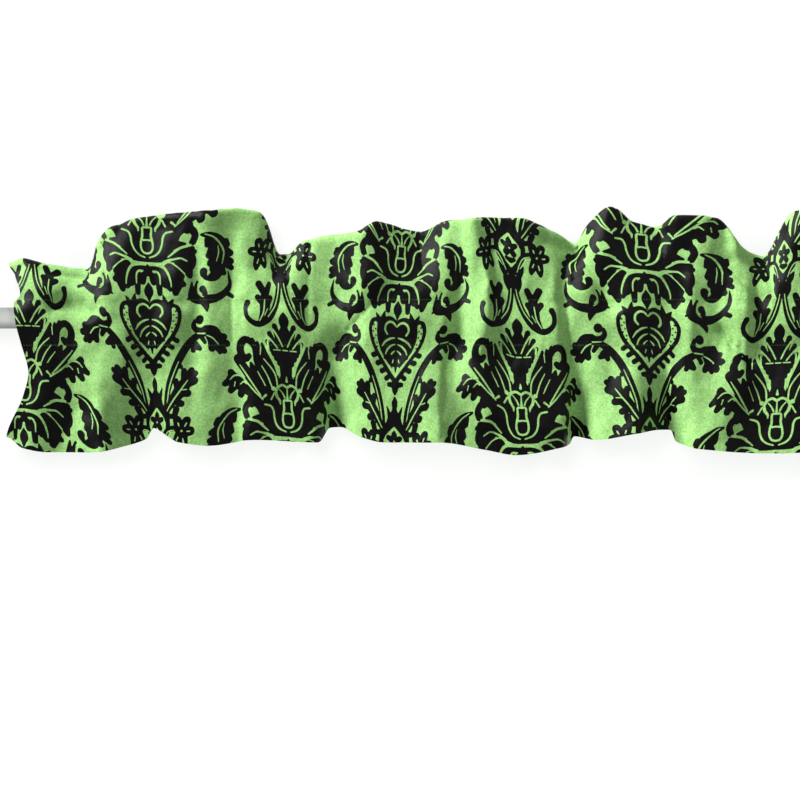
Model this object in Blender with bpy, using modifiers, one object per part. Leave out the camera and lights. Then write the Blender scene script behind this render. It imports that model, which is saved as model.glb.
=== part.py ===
"""A rod-pocket window valance scrunched along a plain curtain rod.

The rod lies along X with its left end's centre at the origin. +Z is up and the cloth's front faces -Y.
The cloth is one sheet: a skirt, a pocket round the rod, and a standing header turned over at the top and
sewn down to the front again above and below the rod.
"""

import math

import bmesh
import bpy
import numpy as np

MM = 0.001

# Driving sizes, in millimetres
ROD_DIAMETER = 25.4
ROD_LENGTH = 1370
ROD_SIDES = 48
CLOTH_LEFT = 70
CLOTH_RIGHT = 1290
CLOTH_THICKNESS = 1.5
ROD_CLEARANCE = 2.0
FACET_MARGIN = 1.5  # a facet lies this much nearer to the rod than its corners
SECTIONS = 80

# The two rows of stitching that close the pocket, as heights above the rod's axis
UPPER_SEAM = 21
LOWER_SEAM = -33
SEAM_SETBACK = 5  # how far a seam lies behind the cloth in front of the rod
SEAM_GRIP = 4  # how far above and below a seam the two layers run together
LAYER_STEP = 4  # between the middles of two layers that are sewn together
SEAM_FLARE = 14  # from a seam to where the layers part again
TAIL = 17  # the turned-over edge that hangs below the lower seam

# The pocket's control points: depth beyond the fold in front of the rod, height
POCKET_FRONT = ((0, -14), (1, 0), (-1, 11))
# and over and behind the rod: depth, height
POCKET_BACK = ((-5, 19.5), (-19.3, 8), (-19.3, -10), (-5, -26.5))

# The header
FOLD_LOOP = 8  # depth of the soft fold along the header's top
FULL_HEADER = 128
SLUMP = 0.24  # how much further back the header rolls for each millimetre that it stands lower
FOLD_SHOULDER = 14  # how far below the top the header starts to turn over

# The upper silhouette: x, height. Low stretches are where the header slumps over backwards.
TOP_EDGE = (
    (70, 66), (88, 73), (120, 64), (165, 59), (180, 94), (195, 112), (225, 121), (290, 125),
    (345, 131), (371, 126), (384, 106), (396, 77), (405, 77), (425, 93), (492, 104), (512, 116),
    (562, 104), (600, 118), (680, 120), (726, 102), (750, 91), (767, 115), (790, 133), (820, 115),
    (847, 110), (869, 122), (918, 120), (948, 87), (978, 76), (993, 100), (1012, 127), (1070, 124),
    (1130, 118), (1152, 92), (1175, 96), (1200, 116), (1262, 112), (1290, 98),
)

# The hem: x, height. The cloth is drawn up where a fold runs back between two others.
HEM_EDGE = (
    (70, -143), (90, -156), (120, -161), (174, -161), (210, -154), (236, -145), (245, -132),
    (276, -149), (312, -153), (366, -146), (441, -149), (456, -132), (468, -131), (492, -142),
    (522, -149), (588, -149), (642, -158), (678, -164), (732, -155), (742, -151), (749, -142),
    (774, -146), (818, -139), (852, -134), (864, -134), (871, -148), (899, -157), (978, -162),
    (1040, -160), (1094, -154), (1108, -138), (1126, -141), (1160, -153), (1230, -159), (1290, -148),
)

# The folds: x of each ridge or valley, and how far it stands towards the viewer. The header's and the
# skirt's folds run into those in front of the rod, and don't all line up with them.
HEADER_FOLDS = (
    (70, 0), (96, 10), (132, 4), (170, -4), (192, 8), (240, 14), (310, 32), (326, 18), (348, 2),
    (374, 20), (386, 14), (402, -8), (420, 10), (434, 14), (456, 10), (494, 26), (511, 20), (562, -2),
    (606, 14), (634, 32), (648, 16), (684, 20), (708, 10), (749, -10), (787, 26), (818, 10), (846, 4),
    (870, 28), (914, 30), (942, 10), (970, -5), (994, 8), (1022, 26), (1068, 10), (1114, 24),
    (1150, -6), (1176, 8), (1226, 28), (1260, 12), (1290, 2),
)
POCKET_FOLDS = (
    (70, 19), (96, 22), (126, 26), (150, 18), (192, 26), (210, 28), (240, 20), (276, 26), (295, 18),
    (310, 25), (337, 17), (362, 28), (390, 24), (420, 20), (434, 23), (461, 17), (498, 28), (540, 22),
    (588, 27), (609, 18), (642, 28), (658, 20), (696, 24), (730, 29), (739, 17), (768, 24), (786, 20),
    (828, 27), (862, 19), (906, 24), (942, 30), (962, 18), (1002, 27), (1044, 22), (1080, 28),
    (1110, 18), (1152, 27), (1188, 20), (1234, 28), (1266, 21), (1290, 19),
)
SKIRT_FOLDS = (
    (70, 4), (102, 12), (134, 2), (174, 20), (194, 30), (216, 16), (240, -4), (270, 12), (317, 36),
    (338, 10), (366, 26), (408, 22), (434, 26), (460, -8), (492, 18), (522, 26), (589, 40), (602, 24),
    (624, 20), (648, 24), (702, 36), (732, 26), (744, -2), (780, 18), (828, 40), (862, -4), (900, 34),
    (926, 24), (958, 10), (990, 30), (1034, 38), (1070, 22), (1111, -4), (1146, 28), (1186, 12),
    (1236, 34), (1270, 16), (1290, 6),
)

# The main creases: from x, height, to x, height, half width, depth (a ridge is positive)
CREASES = (
    (122, 41, 170, 14, 10, -8), (180, 17, 223, -38, 12, 6), (330, 112, 350, 34, 10, -6),
    (271, 22, 300, -32, 12, -6), (506, 26, 454, -38, 11, 5), (629, 115, 650, 38, 10, 6),
    (650, 38, 634, -32, 10, 6), (606, 34, 610, -32, 9, -3), (739, 67, 739, -65, 9, -6),
    (720, 96, 756, 76, 9, -7), (758, 84, 787, 16, 10, -6), (898, 60, 902, -20, 10, 5),
    (934, 67, 962, 22, 10, -6), (920, -14, 955, -55, 8, -7), (940, 115, 944, 82, 8, 7),
    (190, -89, 209, -127, 10, -4), (1102, 82, 1126, -2, 11, -6), (1178, 67, 1158, -14, 10, 5),
    (1206, -36, 1241, -89, 10, -6), (408, 67, 396, 0, 11, -4),
)
SWAY = 6  # how far the folds wander sideways between the hem and the top
SWAY_WAVE = 52  # their wandering turns over along the cloth about every three of these

# How far a side edge of the cloth draws in along the rod: height, inset
SIDE_EDGE = (
    (-160, -2), (-142, -2), (-92, 14), (-62, 22), (-30, 19), (0, 16), (16, 15), (27, 22), (50, 12),
    (67, 0), (100, 0),
)
SIDE_REACH = 55  # how far in from the edge that drawing-in dies away

# The rows of the cloth from hem to tail, counted along the control points of a section
CAGE_SIZE = 29
ROWS = (
    0, 0.5, 1, 1.5, 2, 2.5, 3, 4.5, 6, 7, 8, 9.5, 11, 11.5, 12, 12.5, 13, 14, 14.5, 15, 16,
    17, 18, 19.5, 21, 22, 23, 24, 25.5, 27, 28,
)
BEFORE_ROD = (4, 10)  # the rows between these pass in front of the rod
CREASED = ((19.5, 1), (21, 0.2), (22, 0), (24, 0), (25.5, 1))  # row, share of a crease that it takes

LIME = (0.27, 0.62, 0.16, 1)
ROD_WHITE = (0.82, 0.82, 0.8, 1)


def smooth_curve(points, values, x):
    """A curve through the points that never swings past them: slopes are harmonic means, 0 at each turn."""
    points, values = np.asarray(points, float), np.asarray(values, float)
    step = np.diff(points)
    rise = np.diff(values) / step
    product = rise[:-1] * rise[1:]
    total = rise[:-1] + rise[1:]
    inner = np.where(product > 0, 2 * product / np.where(total == 0, 1, total), 0)
    slope = np.concatenate([[0], inner, [0]])
    x = np.clip(x, points[0], points[-1])
    i = np.clip(np.searchsorted(points, x) - 1, 0, len(step) - 1)
    t = (x - points[i]) / step[i]
    ease = t * t * (3 - 2 * t)
    swing = slope[i] * t * (1 - t) ** 2 - slope[i + 1] * t * t * (1 - t)
    return values[i] * (1 - ease) + values[i + 1] * ease + step[i] * swing


def read(table, x):
    """A table's second column at x."""
    return smooth_curve([row[0] for row in table], [row[1] for row in table], x)


def section_cage(x):
    """Control points of the section at x, as depth towards the viewer and height, from the hem to the tail."""
    top, hem = float(read(TOP_EDGE, x)), float(read(HEM_EDGE, x))
    crown, pocket, skirt = (float(read(folds, x)) for folds in (HEADER_FOLDS, POCKET_FOLDS, SKIRT_FOLDS))
    sewn = pocket - SEAM_SETBACK
    loop = FOLD_LOOP + SLUMP * max(FULL_HEADER - top, 0)
    header_foot = UPPER_SEAM + SEAM_FLARE
    header_middle = (header_foot + top) / 2
    middle = (sewn + crown) / 2 + 1
    seam_foot = LOWER_SEAM - SEAM_FLARE
    below_seam = 0.15 * skirt + 0.85 * sewn
    drop = LOWER_SEAM - hem
    behind = sewn - LAYER_STEP
    skirt_front = [
        (skirt, hem),
        (0.9 * skirt + 0.1 * sewn + 1, hem + drop * 0.3),
        (0.5 * skirt + 0.5 * sewn + 2, hem + drop * 0.62),
        (below_seam, seam_foot),
        (sewn, LOWER_SEAM - SEAM_GRIP),
        (sewn, LOWER_SEAM + SEAM_GRIP),
    ]
    pocket_front = [(pocket + depth, height) for depth, height in POCKET_FRONT]
    header_front = [
        (sewn, UPPER_SEAM - SEAM_GRIP),
        (sewn, UPPER_SEAM + SEAM_GRIP),
        (sewn, header_foot),
        (middle, header_middle),
        (crown, top - FOLD_SHOULDER),
        (crown + 1, top),
    ]
    header_back = [
        (crown - loop, top),
        (crown - loop + 1, top - FOLD_SHOULDER),
        (middle - LAYER_STEP - 2 - loop / 4, header_middle),
        (behind, header_foot),
        (behind, UPPER_SEAM + SEAM_GRIP),
        (behind, UPPER_SEAM - SEAM_GRIP / 2),
    ]
    tail = [
        (behind, LOWER_SEAM + SEAM_GRIP),
        (behind, LOWER_SEAM - SEAM_GRIP),
        (below_seam - LAYER_STEP, seam_foot),
        (below_seam - LAYER_STEP - 0.5, LOWER_SEAM - TAIL),
    ]
    return np.array(skirt_front + pocket_front + header_front + header_back + list(POCKET_BACK) + tail, float)


def spline_weights(places, count):
    """Weights of a cubic B-spline's control points at each place, with the ends held."""
    weights = np.zeros((len(places), count + 2))
    for row, place in enumerate(places):
        first = min(int(place), count - 2)
        t = place - first
        basis = (
            (1 - t) ** 3 / 6,
            (3 * t**3 - 6 * t**2 + 4) / 6,
            (-3 * t**3 + 3 * t**2 + 3 * t + 1) / 6,
            t**3 / 6,
        )
        weights[row, first : first + 4] = basis
    held = weights[:, 1:-1].copy()
    held[:, 0] += 2 * weights[:, 0]
    held[:, 1] -= weights[:, 0]
    held[:, -1] += 2 * weights[:, -1]
    held[:, -2] -= weights[:, -1]
    return held


def crease_depth(x, height):
    """Soft troughs and ridges along the crease lines, as a depth towards the viewer."""
    depth = np.zeros_like(height)
    for x0, z0, x1, z1, half_width, size in CREASES:
        along = ((x - x0) * (x1 - x0) + (height - z0) * (z1 - z0)) / ((x1 - x0) ** 2 + (z1 - z0) ** 2)
        along = np.clip(along, 0, 1)
        gap = np.hypot(x - x0 - along * (x1 - x0), height - z0 - along * (z1 - z0))
        depth += size * np.exp(-((gap / half_width) ** 2))
    return depth


def side_inset(x, height):
    """How far a point is drawn in along the rod: fully at the side edges, not at all past the reach."""
    inset = read(SIDE_EDGE, height)
    left = np.exp(-(((x - CLOTH_LEFT) / SIDE_REACH) ** 2))
    right = np.exp(-(((CLOTH_RIGHT - x) / SIDE_REACH) ** 2))
    return inset * (left - right)


def sway(x, height):
    """How far the folds wander sideways: not at all at the hem, the rod and the top."""
    top, hem = read(TOP_EDGE, x), read(HEM_EDGE, x)
    up = np.clip((height - hem) / (top - hem), 0, 1)
    return SWAY * np.sin(2 * math.pi * up) * np.sin(x / SWAY_WAVE)


def cloth_points():
    """The middle surface of the cloth, as one row of points for each section."""
    weights = spline_weights(ROWS, CAGE_SIZE)
    rows = np.array(ROWS)
    creased = np.interp(rows, *zip(*CREASED))
    before_rod = (rows > BEFORE_ROD[0]) & (rows < BEFORE_ROD[1])
    keep_out = ROD_DIAMETER / 2 + ROD_CLEARANCE + CLOTH_THICKNESS / 2 + FACET_MARGIN
    points = []
    for x in np.linspace(CLOTH_LEFT, CLOTH_RIGHT, SECTIONS):
        depth, height = (weights @ section_cage(x)).T
        depth = depth + creased * crease_depth(x, height)
        rod_front = np.sqrt(np.maximum(keep_out**2 - height**2, 0))
        depth = np.where(before_rod, np.maximum(depth, rod_front), depth)
        place = x + side_inset(x, height) + sway(x, height)
        points.append(np.stack([place, -depth, height], axis=1) * MM)
    return np.array(points)


def dress(piece, collection, finish, color, roughness):
    """Puts a piece in the collection, smooth shaded, with a plain material of its own."""
    for holder in list(piece.users_collection):
        holder.objects.unlink(piece)
    collection.objects.link(piece)
    made = bpy.data.materials.new(finish)
    made.use_nodes = True
    shader = made.node_tree.nodes["Principled BSDF"]
    shader.inputs["Base Color"].default_value = color
    shader.inputs["Roughness"].default_value = roughness
    piece.data.materials.append(made)
    piece.data.shade_smooth()


def build_cloth(collection):
    """An open grid laid on the cloth's middle surface, thickened both ways."""
    points = cloth_points()
    bm = bmesh.new()
    bmesh.ops.create_grid(bm, x_segments=len(ROWS) - 1, y_segments=SECTIONS - 1, size=1)
    bm.verts.ensure_lookup_table()
    for vert, place in zip(bm.verts, points.reshape(-1, 3)):
        vert.co = place
    mesh = bpy.data.meshes.new("valance")
    bm.to_mesh(mesh)
    bm.free()
    cloth = bpy.data.objects.new("valance", mesh)
    dress(cloth, collection, "lime_cloth", LIME, 0.85)
    sheet = cloth.modifiers.new("Thickness", "SOLIDIFY")
    sheet.thickness = CLOTH_THICKNESS * MM
    sheet.offset = 0


def build_rod(collection):
    """A plain round rod along X from the origin, with flat ends."""
    bpy.ops.mesh.primitive_cylinder_add(
        vertices=ROD_SIDES,
        radius=ROD_DIAMETER / 2 * MM,
        depth=ROD_LENGTH * MM,
        location=(ROD_LENGTH / 2 * MM, 0, 0),
        rotation=(0, math.pi / 2, 0),
    )
    rod = bpy.context.object
    rod.name = rod.data.name = "rod"
    dress(rod, collection, "rod_white", ROD_WHITE, 0.4)
    rod.data.set_sharp_from_angle(angle=math.radians(40))


def main():
    for thing in list(bpy.data.objects):
        bpy.data.objects.remove(thing, do_unlink=True)
    collection = bpy.data.collections.new("window_valance")
    bpy.context.scene.collection.children.link(collection)
    build_rod(collection)
    build_cloth(collection)


main()
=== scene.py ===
# Window valance scrunched along a curtain rod: one printed cloth with its pocket, and a plain white rod.
# The rod lies along X from the origin, +Z is up, and the cloth's front faces -Y. Sizes are in millimetres.
import math

import bpy
import numpy as np
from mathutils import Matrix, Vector
from mathutils.geometry import delaunay_2d_cdt


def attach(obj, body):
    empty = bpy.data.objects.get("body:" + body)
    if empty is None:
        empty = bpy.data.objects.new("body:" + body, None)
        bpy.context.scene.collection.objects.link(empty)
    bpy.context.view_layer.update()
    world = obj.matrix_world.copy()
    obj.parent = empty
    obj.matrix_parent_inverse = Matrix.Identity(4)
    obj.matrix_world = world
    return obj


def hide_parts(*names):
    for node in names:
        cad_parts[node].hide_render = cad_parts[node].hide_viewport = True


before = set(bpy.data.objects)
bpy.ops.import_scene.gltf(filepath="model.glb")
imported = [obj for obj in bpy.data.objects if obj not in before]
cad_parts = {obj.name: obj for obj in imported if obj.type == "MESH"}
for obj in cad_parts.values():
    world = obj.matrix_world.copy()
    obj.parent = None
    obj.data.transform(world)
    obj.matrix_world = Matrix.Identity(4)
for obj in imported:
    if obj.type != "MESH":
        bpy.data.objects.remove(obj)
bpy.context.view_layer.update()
mm = 0.001

cloth = {
    "left": 70,
    "right": 1290,
    "thickness": 1.1,
    "sections": 611,
    "fineRows": 561,
    "rowCounts": (124, 110, 190),  # hem to rod, rod to crest, crest to tail
    "rod": 12.7,
    "rodGap": 3.1,  # from the rod to the middle of the cloth, with room for its facets
    "rodClear": 2.7,  # the least of it that small waves leave
    "rodRows": (4, 10),  # the control points between which the front passes the rod
    "upperSeam": 21,
    "lowerSeam": -33,
    "seamSetback": 1.5,
    "seamGrip": 4,
    "seamFlare": 14,
    "layerStep": 4,
    "layerGap": 2.8,
    "layerFade": 14,  # how far below the crest the gap opens fully
    "layerBlur": (0.1, 0.22, 0.36, 0.22, 0.1),
    "tail": 17,
    "pocketFront": ((0, -14), (0.5, 0), (0, 11)),  # depth beyond the fold before the rod, height
    "pocketBack": ((-5, 19.5), (-19.3, 8), (-19.3, -10), (-5, -26.5)),  # depth, height
    "foldLoop": 8,
    "fullHeader": 128,
    "skirtCage": ((0, 1, 0), (0.3, 0.9, 1), (0.62, 0.5, 2)),  # share of the drop, of the skirt's depth, more
    "seamFoot": 0.15,
    "slump": 0.24,
    "foldShoulder": 14,
    "sway": 6,
    "swayWave": 52,
    "sideReach": 55,
    "creased": ((19.5, 1), (21, 0.2), (22, 0), (24, 0), (25.5, 1)),  # row, share of a crease that it takes
    "topEdge": (  # x, height
        (70, 66), (88, 73), (120, 64), (165, 59), (180, 94), (195, 112), (225, 121), (290, 125),
        (345, 131), (371, 126), (384, 106), (396, 77), (405, 77), (425, 93), (492, 104), (512, 116),
        (562, 104), (600, 118), (680, 120), (726, 102), (750, 91), (767, 115), (790, 133), (820, 115),
        (847, 110), (869, 122), (918, 120), (948, 87), (978, 76), (993, 100), (1012, 127), (1070, 124),
        (1130, 118), (1152, 92), (1175, 96), (1200, 116), (1262, 112), (1290, 98),
    ),
    "hemEdge": (
        (70, -143), (90, -156), (120, -161), (174, -161), (210, -154), (236, -145), (245, -132),
        (276, -149), (312, -153), (366, -146), (441, -149), (456, -132), (468, -131), (492, -142),
        (522, -149), (588, -149), (642, -158), (678, -164), (732, -155), (742, -151), (749, -142),
        (774, -146), (818, -139), (852, -134), (864, -134), (871, -148), (899, -157), (978, -162),
        (1040, -160), (1094, -154), (1108, -138), (1126, -141), (1160, -153), (1230, -159), (1290, -148),
    ),
    "headerFolds": (
        (70, 0), (96, 6), (132, 4), (168, 0), (182, 5), (198, 9), (240, 12), (288, 18), (306, 24), (326, 21),
        (350, 14), (374, 8), (391, 3), (406, -3), (420, 7), (433, 11), (456, 12), (480, 19), (497, 24),
        (511, 21), (535, 12), (562, 5), (588, 9), (610, 16), (624, 26), (637, 20), (653, 17), (684, 19),
        (714, 10), (732, 4), (749, -2), (770, 9), (790, 19), (818, 15), (840, 15), (870, 23), (900, 27),
        (925, 17), (937, 21), (954, 10), (970, 2), (994, 10), (1022, 26), (1068, 10), (1114, 24), (1150, -6),
        (1176, 8), (1226, 28), (1260, 12), (1290, 2),
    ),
    "pocketFolds": (
        (70, 19), (96, 21), (122, 23), (146, 20), (175, 24), (206, 27), (240, 22), (271, 25), (283, 23),
        (296, 19), (311, 23), (337, 18), (360, 25), (382, 27), (403, 24), (420, 24), (433, 22), (463, 18),
        (504, 30), (540, 25), (588, 26), (608, 18), (626, 26), (641, 29), (659, 23), (696, 25), (727, 25),
        (739, 19), (768, 25), (787, 23), (828, 28), (857, 23), (886, 28), (914, 24), (948, 32), (965, 22),
        (1002, 27), (1044, 22), (1080, 28), (1110, 18), (1152, 27), (1188, 20), (1234, 28), (1266, 21),
        (1290, 19),
    ),
    "skirtFolds": (
        (70, 6), (102, 10), (134, 6), (168, 15), (185, 23), (206, 15), (233, 5), (266, 16), (304, 22),
        (326, 17), (346, 12), (362, 18), (402, 17), (434, 16), (458, -2), (492, 18), (522, 28), (552, 30),
        (589, 40), (601, 33), (624, 29), (660, 28), (702, 31), (732, 27), (745, 2), (780, 24), (821, 38),
        (840, 26), (862, 8), (898, 32), (926, 34), (958, 24), (990, 28), (1034, 36), (1070, 22), (1110, -2),
        (1146, 26), (1186, 12), (1236, 32), (1270, 16), (1290, 6),
    ),
    "creases": (  # from x, height, to x, height, half width, depth
        (128, 16, 172, 8, 10, -7), (180, 17, 223, -38, 12, 4), (330, 112, 348, 40, 12, -3),
        (274, 16, 295, -26, 11, -3), (521, 29, 461, -41, 13, -4.5), (629, 115, 644, 38, 8, 3),
        (644, 38, 636, -38, 8, 3), (742, 67, 742, -41, 5, -2), (718, 94, 756, 77, 9, -5),
        (761, 82, 794, 12, 10, -4), (880, 46, 888, -36, 7, 2.5), (934, 67, 962, 22, 10, -5),
        (920, -14, 956, -55, 7, -5), (940, 115, 944, 82, 8, 4), (190, -89, 211, -127, 12, -3),
        (1102, 82, 1126, -2, 11, -6), (1178, 67, 1158, -14, 10, 5), (1206, -36, 1241, -89, 10, -6),
        (408, 67, 401, 0, 11, 3), (433, 96, 431, -17, 5, -1.2), (374, 58, 401, 17, 9, -3),
    ),
    "sideEdge": (  # height, how far the side edge draws in
        (-160, -2), (-142, -2), (-92, 14), (-62, 22), (-30, 19), (0, 16), (16, 15), (27, 22), (50, 12),
        (67, 0), (100, 0),
    ),
    "fineCreases": (  # as the creases, for the front only
        (918, -12, 956, -55, 2.6, -2.8), (738, 66, 741, -62, 2.4, -1.4), (516, 27, 458, -39, 3, -1.5),
        (432, 92, 430, -14, 2.4, -1), (650, 96, 653, 40, 2.6, -1.3), (653, 40, 645, -32, 2.6, -1.3),
        (338, 56, 340, -26, 2.6, -1.5), (936, 54, 962, 24, 3, -1.4), (594, -54, 590, -144, 2.8, -1.3),
        (858, -42, 860, -130, 3, -1.3), (402, 74, 409, 34, 2.6, -1.3), (388, 100, 380, 62, 2.6, -1.1),
        (560, 102, 568, 58, 2.6, -1.2), (752, 88, 748, 44, 2.6, -1.3), (848, 108, 856, 60, 2.6, -1.2),
        (976, 76, 984, 30, 2.8, -1.4), (1158, 90, 1150, 44, 2.6, -1.3), (183, 90, 190, 46, 2.8, -1.3),
        (246, -70, 243, -132, 3, -1.3), (462, -78, 460, -132, 3, -1.2), (1110, -70, 1112, -138, 3, -1.3),
    ),
    "puckerDepth": 0.55,
    "puckerReach": 8,
    "puckerPitch": 9,
    "puckerShares": (1, 0.4),  # at the lower and the upper seam
    "puckerSpots": (
        (70, 0.6), (690, 0.7), (712, 1.6), (735, 0.7), (915, 0.7), (938, 1.6), (960, 0.7), (1290, 0.6),
    ),
    "puckerWander": (2.2, 5, 6, 60, 160),  # size, seed, count, shortest and longest wave
    "puckerSizes": (0.5, 6, 5, 25, 90),
    "waves": ((0.14, 9, 11, 13, 26), (0.42, 7, 9, 26, 60), (0.9, 8, 9, 60, 130)),
}


def curveThrough(points, values, x):
    # a cubic on each span that never swings past the points: slopes are harmonic means of the two chords
    points, values = np.asarray(points, float), np.asarray(values, float)
    step = np.diff(points)
    rise = np.diff(values) / step
    product, total = rise[:-1] * rise[1:], rise[:-1] + rise[1:]
    mean = np.where(product > 0, 2 * product / np.where(total == 0, 1, total), 0)
    slope = np.concatenate([[0], mean, [0]])
    x = np.clip(x, points[0], points[-1])
    i = np.clip(np.searchsorted(points, x) - 1, 0, len(step) - 1)
    t = (x - points[i]) / step[i]
    ease = t * t * (3 - 2 * t)
    swing = slope[i] * t * (1 - t) ** 2 - slope[i + 1] * t * t * (1 - t)
    return values[i] * (1 - ease) + values[i + 1] * ease + step[i] * swing


def lookUp(table, x):
    return curveThrough(*zip(*table), x)


def sectionCages(x):
    # control points of every section at once, (sections, points, 2): depth towards the viewer, height
    top, hem = lookUp(cloth["topEdge"], x), lookUp(cloth["hemEdge"], x)
    crown, pocket, skirt = (lookUp(cloth[name], x) for name in ("headerFolds", "pocketFolds", "skirtFolds"))
    upper, lower, grip, layer = (cloth[name] for name in ("upperSeam", "lowerSeam", "seamGrip", "layerStep"))
    sewn = pocket - cloth["seamSetback"]
    loop = cloth["foldLoop"] + cloth["slump"] * np.maximum(cloth["fullHeader"] - top, 0)
    headerFoot, seamFoot = upper + cloth["seamFlare"], lower - cloth["seamFlare"]
    headerMiddle, middle = (headerFoot + top) / 2, (sewn + crown) / 2 + 1
    foot, drop, behind = cloth["seamFoot"], lower - hem, sewn - layer
    belowSeam, shoulder = foot * skirt + (1 - foot) * sewn, top - cloth["foldShoulder"]
    points = [
        *((own * skirt + (1 - own) * sewn + more, hem + drop * rise) for rise, own, more in cloth["skirtCage"]),
        (belowSeam, seamFoot), (sewn, lower - grip), (sewn, lower + grip),
        *((pocket + depth, height) for depth, height in cloth["pocketFront"]),
        (sewn, upper - grip), (sewn, upper + grip), (sewn, headerFoot), (middle, headerMiddle),
        (crown, shoulder), (crown + 1, top), (crown - loop, top), (crown - loop + 1, shoulder),
        (middle - layer - 2 - loop / 4, headerMiddle), (behind, headerFoot),
        (behind, upper + grip), (behind, upper - grip / 2), *cloth["pocketBack"],
        (behind, lower + grip), (behind, lower - grip),
        (belowSeam - layer, seamFoot), (belowSeam - layer - 0.5, lower - cloth["tail"]),
    ]
    spread = [np.broadcast_arrays(depth, height, x)[:2] for depth, height in points]
    return np.stack([np.stack(pair, axis=-1) for pair in spread], axis=1)


def splineWeights(places, count):
    # uniform cubic B-spline weights of the control points at each place, with the ends held
    first = np.minimum(places.astype(int), count - 2)
    t = places - first
    basis = ((1 - t) ** 3, 3 * t**3 - 6 * t**2 + 4, -3 * t**3 + 3 * t**2 + 3 * t + 1, t**3)
    weights = np.zeros((len(places), count + 2))
    for k, part in enumerate(basis):
        weights[np.arange(len(places)), first + k] = part / 6
    held = weights[:, 1:-1].copy()
    held[:, 0] += 2 * weights[:, 0]
    held[:, 1] -= weights[:, 0]
    held[:, -1] += 2 * weights[:, -1]
    held[:, -2] -= weights[:, -1]
    return held


def creaseDepth(creases, x, height):
    # sum over the creases of size * exp(-(distance to its line / half width)^2)
    depth = np.zeros_like(height)
    for x0, z0, x1, z1, halfWidth, size in creases:
        along = ((x - x0) * (x1 - x0) + (height - z0) * (z1 - z0)) / ((x1 - x0) ** 2 + (z1 - z0) ** 2)
        along = np.clip(along, 0, 1)
        gap = np.hypot(x - x0 - along * (x1 - x0), height - z0 - along * (z1 - z0))
        depth += size * np.exp(-((gap / halfWidth) ** 2))
    return depth


def clothSections(x, rows):
    # points (section, row, 3) of the sheet's middle, with its main creases, its drawn-in sides and its sway
    cages = sectionCages(x)
    flat = splineWeights(rows, cages.shape[1]) @ cages
    depth, height = flat[..., 0], flat[..., 1]
    across = np.broadcast_to(x[:, None], depth.shape)
    depth = depth + np.interp(rows, *zip(*cloth["creased"])) * creaseDepth(cloth["creases"], across, height)
    keepOut = np.sqrt(np.maximum((cloth["rod"] + cloth["rodGap"]) ** 2 - height**2, 0))
    first, last = cloth["rodRows"]
    depth = np.where((rows > first) & (rows < last), np.maximum(depth, keepOut), depth)
    near = [np.exp(-(((across - cloth[side]) / cloth["sideReach"]) ** 2)) for side in ("left", "right")]
    top, hem = lookUp(cloth["topEdge"], x)[:, None], lookUp(cloth["hemEdge"], x)[:, None]
    up = np.clip((height - hem) / (top - hem), 0, 1)
    sway = cloth["sway"] * np.sin(2 * math.pi * up) * np.sin(across / cloth["swayWave"])
    place = across + lookUp(cloth["sideEdge"], height) * (near[0] - near[1]) + sway
    return np.stack([place, -depth, height], axis=-1)


def unit(vectors):
    return vectors / np.maximum(np.linalg.norm(vectors, axis=-1, keepdims=True), 1e-12)


def gridNormals(points):
    # outward normals of a grid: slope along the rod crossed with slope up the cloth
    return unit(np.cross(np.gradient(points, axis=0), np.gradient(points, axis=1)))


def clothGrid():
    # the sheet on an even grid: hem, rod line, crest and tail lie on rows, with arc length between them
    x = np.linspace(cloth["left"], cloth["right"], cloth["sections"])
    rows = np.linspace(0, sectionCages(x).shape[1] - 1, cloth["fineRows"])
    fine = clothSections(x, rows)
    steps = np.linalg.norm(np.diff(fine, axis=1), axis=-1)
    length = np.concatenate([np.zeros((len(x), 1)), np.cumsum(steps, axis=1)], axis=1)
    crest = np.argmax(fine[..., 2], axis=1)
    first, last = cloth["rodRows"]
    before = (rows > first + 1) & (rows < last)
    points, arcs = [], []
    for i in range(len(x)):
        rodLine = np.interp(0, fine[i, before, 2], length[i, before])
        knots = (0, rodLine, length[i, crest[i]], length[i, -1])
        spans = zip(knots, knots[1:], cloth["rowCounts"])
        marks = np.concatenate([np.linspace(*span, endpoint=False) for span in spans] + [knots[-1:]])
        points.append(np.stack([np.interp(marks, length[i], fine[i, :, k]) for k in range(3)], axis=1))
        arcs.append(marks - rodLine)
    return x, np.array(points), np.array(arcs)


def wander(seed, count, low, high, x, z):
    # a sum of sine waves in every direction, wavelengths from low to high, amplitude about 1
    rng = np.random.default_rng(seed)
    total = np.zeros_like(x)
    ranges = ((0, math.pi), (low, high), (0, 6.28))  # angle, wavelength, phase
    for angle, wave, phase in zip(*(rng.uniform(*ends, count) for ends in ranges)):
        total += np.sin((x * math.cos(angle) + z * math.sin(angle)) * 2 * math.pi / wave + phase)
    return total / math.sqrt(count / 2)


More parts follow.
